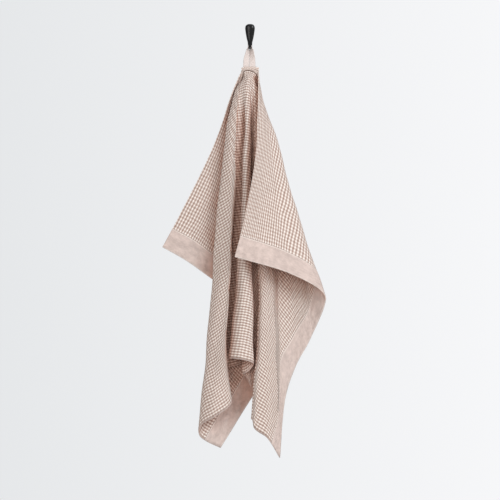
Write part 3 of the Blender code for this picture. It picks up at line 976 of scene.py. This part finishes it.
def stitch_tree():
    """Geometry Nodes tree that lays small stitches along the edges of a mesh path."""
    tree = bpy.data.node_groups.new("row_of_stitches", "GeometryNodeTree")
    for name, kind in (
        ("Path", "Geometry"), ("Pitch", "Float"), ("Length", "Float"), ("Thread", "Float"), ("Seed", "Int"),
        ("Material", "Material"),
    ):
        tree.interface.new_socket(name=name, in_out="INPUT", socket_type="NodeSocket" + kind)
    tree.interface.new_socket(name="Stitches", in_out="OUTPUT", socket_type="NodeSocketGeometry")

    node = Nodes(tree).node
    given = node("NodeGroupInput", {}, {}).outputs
    curve = node("GeometryNodeMeshToCurve", {}, {"Mesh": given["Path"]}).outputs[0]
    spaced = node("GeometryNodeResampleCurve", {"mode": "LENGTH"}, {"Curve": curve, "Length": given["Pitch"]})
    bead = node("GeometryNodeMeshUVSphere", {}, {"Segments": 8, "Rings": 6, "Radius": 0.5})
    thread = given["Thread"]
    size = node("ShaderNodeCombineXYZ", {}, {"X": given["Length"], "Y": thread, "Z": thread})
    tangent = node("GeometryNodeInputTangent", {}, {})
    turn = node("FunctionNodeAlignRotationToVector", {"axis": "X"}, {"Vector": tangent.outputs[0]})
    vary = node("FunctionNodeRandomValue", {"data_type": "FLOAT"}, {2: 0.86, 3: 1.1, "Seed": given["Seed"]})
    scale = node(
        "ShaderNodeVectorMath", {"operation": "SCALE"}, {0: size.outputs[0], "Scale": vary.outputs[1]}
    )
    sockets = ("Points", "Instance", "Rotation", "Scale")
    laid = node(
        "GeometryNodeInstanceOnPoints",
        {},
        {key: made.outputs[0] for key, made in zip(sockets, (spaced, bead, turn, scale))},
    )
    real = node("GeometryNodeRealizeInstances", {}, {"Geometry": laid.outputs[0]})
    even = node("GeometryNodeSetShadeSmooth", {}, {"Geometry": real.outputs[0]})
    ended = node("GeometryNodeSetMaterial", {}, {"Geometry": even.outputs[0], "Material": given["Material"]})
    node("NodeGroupOutput", {}, {0: ended.outputs[0]})
    return tree


def stitched_piece(name, paths, settings, material):
    """Rows of stitches along paths, as one plain mesh."""
    shape = bmesh.new()
    for path in paths:
        verts = [shape.verts.new(point) for point in path]
        for first, second in zip(verts, verts[1:]):
            shape.edges.new((first, second))
    piece = new_piece(name, shape, material)
    tree = stitch_tree()
    rows = piece.modifiers.new("stitches", "NODES")
    rows.node_group = tree
    given = {
        "Pitch": settings.pitch, "Length": settings.length, "Thread": settings.thread, "Seed": settings.seed,
        "Material": material,
    }
    for item in tree.interface.items_tree:
        if item.in_out == "INPUT" and item.name in given:
            rows[item.identifier] = given[item.name]
    apply_modifiers(piece)
    bpy.data.node_groups.remove(tree)
    return piece


# Operators


class HANDTOWEL_OT_loop(Operator):
    """Makes the hanging loop over the hook"""

    bl_idname = "hand_towel.loop"
    bl_label = "Hanging Loop"

    def execute(self, context):
        tape = tape_piece(context.scene.hand_towel.loop)
        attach(tape, "root")
        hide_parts("hanging_loop")
        return {"FINISHED"}


class HANDTOWEL_OT_cloth(Operator):
    """Makes the towel's hung sheet and the stitches of its two hems"""

    bl_idname = "hand_towel.cloth"
    bl_label = "Towel"

    def execute(self, context):
        settings = context.scene.hand_towel
        sheet = HungSheet()
        cloth = cloth_piece(sheet, settings.cloth)
        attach(cloth, "root")
        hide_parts("towel_cloth")
        seam = SHEET_LENGTH / 2.0 - settings.cloth.band_width / MM + STITCH_INSET
        lift = settings.cloth.band_thickness / MM / 2.0
        paths = [
            sheet.path(side * seam, face * lift) for side in (-1.0, 1.0) for face in (-1.0, 1.0)
        ]
        stitches = stitched_piece("hem_stitches", paths, settings.stitches, thread_finish(settings.stitches))
        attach(stitches, "root")
        return {"FINISHED"}


class HANDTOWEL_OT_hook(Operator):
    """Makes the hook's head, arm and wall plate"""

    bl_idname = "hand_towel.hook"
    bl_label = "Hook"

    def execute(self, context):
        settings = context.scene.hand_towel.hook
        arm = arm_piece(black_finish("black_enamel_arm", settings))
        plate = plate_piece(black_finish("black_enamel_plate", settings))
        for piece, node, slot in (
            (arm, "hook_arm", "black_metal_arm"),
            (plate, "hook_plate", "black_metal_plate"),
        ):
            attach(piece, "root")
            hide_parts(node)
        return {"FINISHED"}


class HANDTOWEL_OT_stage(Operator):
    """Sets the floor, the soft studio light and the camera"""

    bl_idname = "hand_towel.stage"
    bl_label = "Stage"

    def execute(self, context):
        settings = context.scene.hand_towel.stage
        self.floor(settings)
        self.light("key_light", settings.key_power, KEY_PLACE, KEY_COLOUR)
        self.light("fill_light", settings.fill_power, FILL_PLACE, FILL_COLOUR)
        self.world(context.scene, settings)
        self.camera(context.scene, settings)
        return {"FINISHED"}

    def floor(self, settings):
        """A round pale floor that fades into the backdrop."""
        finish = Finish("pale_floor", {"Roughness": 0.9, "Specular IOR Level": 0.1})
        place = finish.coordinates()
        length = finish.node("ShaderNodeVectorMath", {"operation": "LENGTH"}, {0: place})
        away = Wire(finish, length.outputs["Value"])
        grain = finish.noise(place, 3.0)
        colour = finish.mix(grain * 0.3, rgba(settings.floor_colour), rgba(settings.floor_colour, 0.95))
        finish.connect(finish.shader.inputs["Base Color"], colour)
        solid = ((settings.floor_radius - 0.1 - away) / (settings.floor_radius * 0.6)).clamped()
        finish.connect(finish.shader.inputs["Alpha"], solid)
        shape = bmesh.new()
        bmesh.ops.create_circle(shape, cap_ends=True, segments=96, radius=settings.floor_radius)
        floor = new_piece("studio_floor", shape, finish.material)
        floor.location.z = settings.floor_height

    def light(self, name, power, place, colour):
        """A square soft light aimed at the towel."""
        data = bpy.data.lights.new(name, "AREA")
        data.energy = power
        data.size = LIGHT_SIZE
        data.color = colour
        lamp = bpy.data.objects.new(name, data)
        lamp.location = place
        lamp.rotation_euler = (Vector(LIGHT_AIM) - lamp.location).to_track_quat("-Z", "Y").to_euler()
        bpy.context.scene.collection.objects.link(lamp)

    def world(self, scene, settings):
        """Even pale light, a little stronger from above and from the room than from behind; the camera sees a
        backdrop darker on the left, as painted shade.
        """
        world = bpy.data.worlds.new("studio")
        world.use_nodes = True
        world.node_tree.nodes.clear()
        node = Nodes(world.node_tree).node
        direction = node("ShaderNodeTexCoord", {}, {}).outputs["Generated"]
        lean = node("ShaderNodeVectorMath", {"operation": "DOT_PRODUCT"}, {0: direction, 1: SKY_LEAN})
        share = node(
            "ShaderNodeMapRange",
            {"clamp": True},
            {"Value": lean.outputs["Value"], 1: -SKY_REACH, 2: SKY_REACH, 3: SKY_WEAKEST, 4: SKY_STRONGEST},
        )
        strength = node(
            "ShaderNodeMath", {"operation": "MULTIPLY"}, {0: share.outputs[0], 1: settings.sky_strength}
        )
        lit = node("ShaderNodeBackground", {}, {"Color": rgba(SKY_COLOUR), "Strength": strength.outputs[0]})
        # Backdrop seen only by the camera, darker on the left: painted shade.
        sides = node("ShaderNodeSeparateXYZ", {}, {0: direction})
        edge = settings.view_height / settings.camera_distance / 2.0
        place = node("ShaderNodeMapRange", {"clamp": True}, {"Value": sides.outputs[0], 1: -edge, 2: edge})
        backdrop = node(
            "ShaderNodeMix",
            {"data_type": "RGBA"},
            {0: place.outputs[0], 6: rgba(settings.backdrop_left), 7: rgba(settings.backdrop_right)},
        )
        seen = node("ShaderNodeBackground", {}, {"Color": backdrop.outputs[2], "Strength": 1.0})
        ray = node("ShaderNodeLightPath", {}, {}).outputs["Is Camera Ray"]
        both = node("ShaderNodeMixShader", {}, {0: ray, 1: lit.outputs[0], 2: seen.outputs[0]})
        node("ShaderNodeOutputWorld", {}, {0: both.outputs[0]})
        scene.world = world
        scene.view_settings.view_transform = "Standard"

    def camera(self, scene, settings):
        """A level camera far off, framed on the middle of the picture."""
        data = bpy.data.cameras.new("camera")
        data.lens = data.sensor_width * settings.camera_distance / settings.view_height
        data.clip_start = 0.1
        data.clip_end = 60.0
        camera = bpy.data.objects.new("camera", data)
        camera.location = Vector(VIEW_CENTRE) - Vector((0.0, settings.camera_distance, 0.0))
        camera.rotation_euler = (math.pi / 2.0, 0.0, 0.0)
        scene.collection.objects.link(camera)
        scene.camera = camera


class HANDTOWEL_PT_panel(Panel):
    """Buttons and settings for the towel, its hook and the stage"""

    bl_label = "Hand Towel"
    bl_idname = "HANDTOWEL_PT_panel"
    bl_space_type = "VIEW_3D"
    bl_region_type = "UI"
    bl_category = "Towel"

    def draw(self, context):
        settings = context.scene.hand_towel
        for operator, group in BUTTONS:
            box = self.layout.box()
            box.operator(operator.bl_idname)
            for part in group:
                values = getattr(settings, part)
                for name in values.__annotations__:
                    box.prop(values, name)


BUTTONS = (
    (HANDTOWEL_OT_loop, ("loop",)),
    (HANDTOWEL_OT_cloth, ("cloth", "stitches")),
    (HANDTOWEL_OT_hook, ("hook",)),
    (HANDTOWEL_OT_stage, ("stage",)),
)
CLASSES = (
    ClothSettings, LoopSettings, StitchSettings, HookSettings, StageSettings, TowelSettings,
    HANDTOWEL_OT_loop, HANDTOWEL_OT_cloth, HANDTOWEL_OT_hook, HANDTOWEL_OT_stage, HANDTOWEL_PT_panel,
)


def register():
    for item in CLASSES:
        bpy.utils.register_class(item)
    bpy.types.Scene.hand_towel = PointerProperty(type=TowelSettings)


def unregister():
    del bpy.types.Scene.hand_towel
    for item in reversed(CLASSES):
        bpy.utils.unregister_class(item)


def main():
    register()
    bpy.ops.hand_towel.stage()
    bpy.ops.hand_towel.hook()
    bpy.ops.hand_towel.loop()
    bpy.ops.hand_towel.cloth()


if __name__ == "__main__":
    main()
